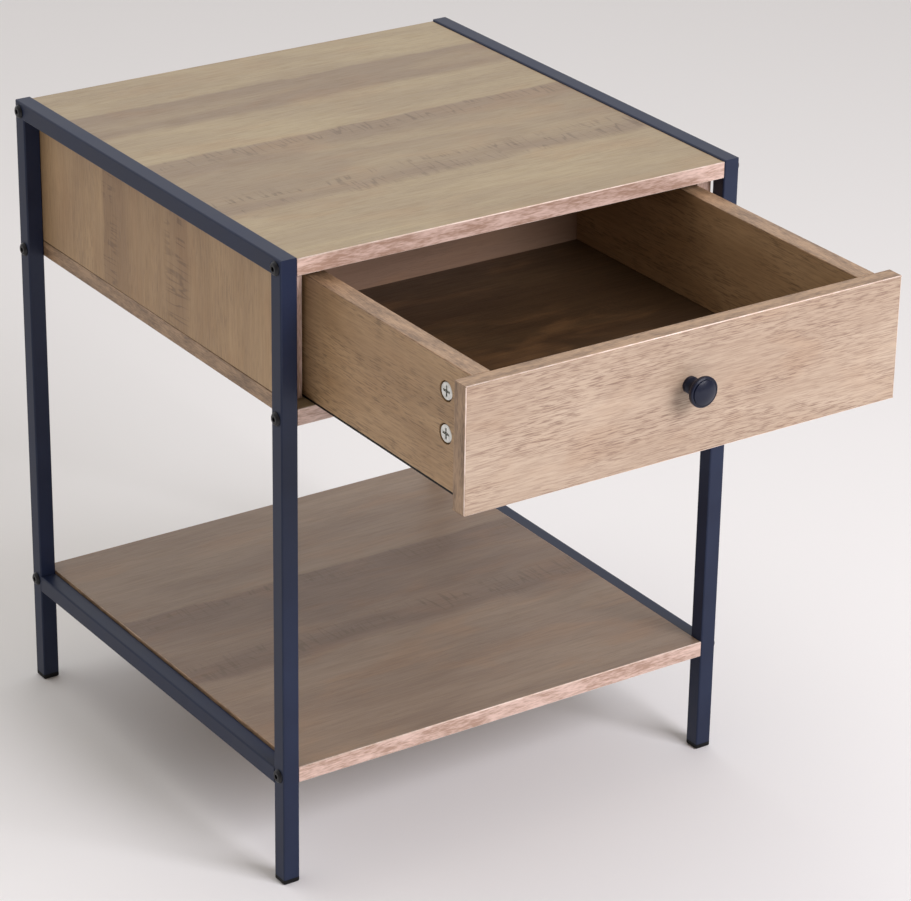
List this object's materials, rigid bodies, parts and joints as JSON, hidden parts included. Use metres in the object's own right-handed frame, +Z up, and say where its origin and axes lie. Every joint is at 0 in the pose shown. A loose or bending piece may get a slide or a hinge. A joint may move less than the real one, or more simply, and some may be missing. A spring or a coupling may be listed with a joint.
{
  "type": "side table with drawer",
  "caption": "Square side table: slim steel side frames, wood-effect top, lower shelf and a front drawer with a round knob, shown open.",
  "frame": {"origin": "on the floor, midway between the four feet", "axes": "+Z up, the drawer opens towards -Y, +X to the right seen from the front"},
  "size_m": [0.4706, 0.723, 0.584],
  "materials": {
    "beech_dowel": "raw",
    "black_bolt_steel": "satin",
    "black_plastic": "matte",
    "drawer_bottom_board": "satin",
    "frame_powder_coat": "satin",
    "knob_paint": "satin",
    "oak_edge_band": "satin",
    "oak_laminate": "satin",
    "zinc_hardware": "satin"
  },
  "bodies": {
    "table": {"left_top_rail": "frame_powder_coat", "left_shelf_rail": "frame_powder_coat", "left_front_leg": "frame_powder_coat", "left_front_foot": "black_plastic", "left_rear_leg": "frame_powder_coat", "left_rear_foot": "black_plastic", "left_side_panel": "oak_laminate", "left_side_panel_edge_band": "oak_edge_band", "right_top_rail": "frame_powder_coat", "right_shelf_rail": "frame_powder_coat", "right_front_leg": "frame_powder_coat", "right_front_foot": "black_plastic", "right_rear_leg": "frame_powder_coat", "right_rear_foot": "black_plastic", "right_side_panel": "oak_laminate", "right_side_panel_edge_band": "oak_edge_band", "top_board": "oak_laminate", "top_board_edge_bands": "oak_edge_band", "compartment_floor": "oak_laminate", "compartment_floor_edge_bands": "oak_edge_band", "lower_shelf": "oak_laminate", "lower_shelf_edge_bands": "oak_edge_band", "back_panel": "oak_laminate", "floor_dowels": "beech_dowel", "top_board_dowels": "beech_dowel", "frame_bolts": "black_bolt_steel", "barrel_nuts": "zinc_hardware"},
    "drawer": {"drawer_front": "oak_laminate", "drawer_front_edge_bands": "oak_edge_band", "drawer_left_side": "oak_laminate", "drawer_right_side": "oak_laminate", "drawer_left_side_edge_band": "oak_edge_band", "drawer_right_side_edge_band": "oak_edge_band", "drawer_left_glide_strip": "black_plastic", "drawer_right_glide_strip": "black_plastic", "drawer_back": "oak_laminate", "drawer_bottom": "drawer_bottom_board", "drawer_back_screws": "zinc_hardware", "drawer_bottom_screws": "zinc_hardware", "drawer_front_dowels": "beech_dowel", "drawer_cams": "zinc_hardware", "drawer_cam_bolts": "zinc_hardware", "knob": "knob_paint", "knob_screw": "zinc_hardware"}
  },
  "joints": [
    {"name": "drawer_slide", "type": "slide", "parent": "table", "child": "drawer", "axis": [0, -1, 0], "range_m": [-0.242, 0.06]}
  ]
}
